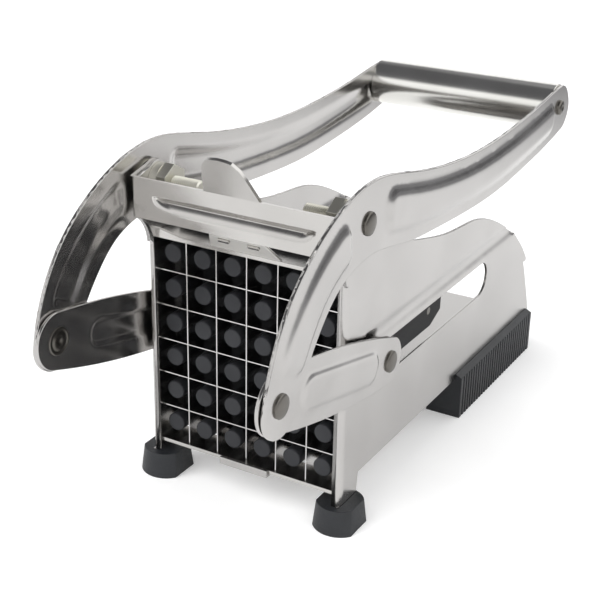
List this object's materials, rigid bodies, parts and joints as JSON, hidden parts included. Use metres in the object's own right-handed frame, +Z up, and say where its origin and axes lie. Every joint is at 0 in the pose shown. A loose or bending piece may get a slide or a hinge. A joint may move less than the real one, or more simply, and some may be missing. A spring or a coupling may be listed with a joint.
{
  "type": "french fry cutter",
  "caption": "Lever press that pushes a pegged block through a blade grid in a sheet-steel body on rubber feet.",
  "frame": {"origin": "on the table, under the middle of the overall length and width", "axes": "+X to the right when looking from the blades to the handle, +Y from the blades to the handle, +Z up"},
  "size_m": [0.0924, 0.2607, 0.1356],
  "materials": {
    "sheet_steel": "satin pressed stainless sheet",
    "blade_steel": "thin bright blade strip",
    "grip_steel": "smooth tube",
    "fastener_steel": "plain turned steel",
    "black_plastic": "moulded, low sheen",
    "rubber": "matte"
  },
  "bodies": {
    "frame": {"left_side_wall": "sheet_steel", "right_side_wall": "sheet_steel", "floor_tray": "sheet_steel", "front_brace": "sheet_steel", "blade_frame": "sheet_steel", "pull_tab": "sheet_steel", "vertical_blades": "blade_steel", "horizontal_blades": "blade_steel", "left_front_foot": "rubber", "right_front_foot": "rubber", "left_rear_pad": "rubber", "right_rear_pad": "rubber", "left_pivot_bolt": "fastener_steel", "right_pivot_bolt": "fastener_steel", "left_pivot_washer": "fastener_steel", "right_pivot_washer": "fastener_steel", "left_pivot_spacer": "fastener_steel", "right_pivot_spacer": "fastener_steel", "left_pivot_nut": "fastener_steel", "right_pivot_nut": "fastener_steel"},
    "lever": {"left_lever_arm": "sheet_steel", "right_lever_arm": "sheet_steel", "grip_tube": "grip_steel", "grip_tie_rod": "fastener_steel", "left_grip_plug": "black_plastic", "right_grip_plug": "black_plastic", "left_lower_rivet": "fastener_steel", "right_lower_rivet": "fastener_steel"},
    "link": {"left_link": "sheet_steel", "right_link": "sheet_steel", "left_link_rivet": "fastener_steel", "right_link_rivet": "fastener_steel"},
    "pusher": {"pusher_block": "black_plastic", "pusher_backplate": "sheet_steel", "backplate_screws": "fastener_steel", "left_guide_rail": "black_plastic", "right_guide_rail": "black_plastic", "left_guide_screw": "fastener_steel", "right_guide_screw": "fastener_steel", "left_slot_bush": "black_plastic", "right_slot_bush": "black_plastic"}
  },
  "joints": [
    {"name": "lever_hinge", "type": "hinge", "parent": "frame", "child": "lever", "pos_m": [0, -0.06555, 0.116], "axis": [1, 0, 0], "range_deg": [0, 80]},
    {"name": "link_hinge", "type": "hinge", "parent": "lever", "child": "link", "pos_m": [0, -0.12005, 0.074], "axis": [1, 0, 0], "range_deg": [-66.74, 0]},
    {"name": "pusher_slide", "type": "slide", "parent": "frame", "child": "pusher", "axis": [0, 1, 0], "range_m": [0, 0.08858]}
  ],
  "couplings": [
    {"joint": "link_hinge", "follows": "lever_hinge", "ratio": -0.83361},
    {"joint": "pusher_slide", "follows": "lever_hinge", "m_per_rad": 0.063402}
  ]
}
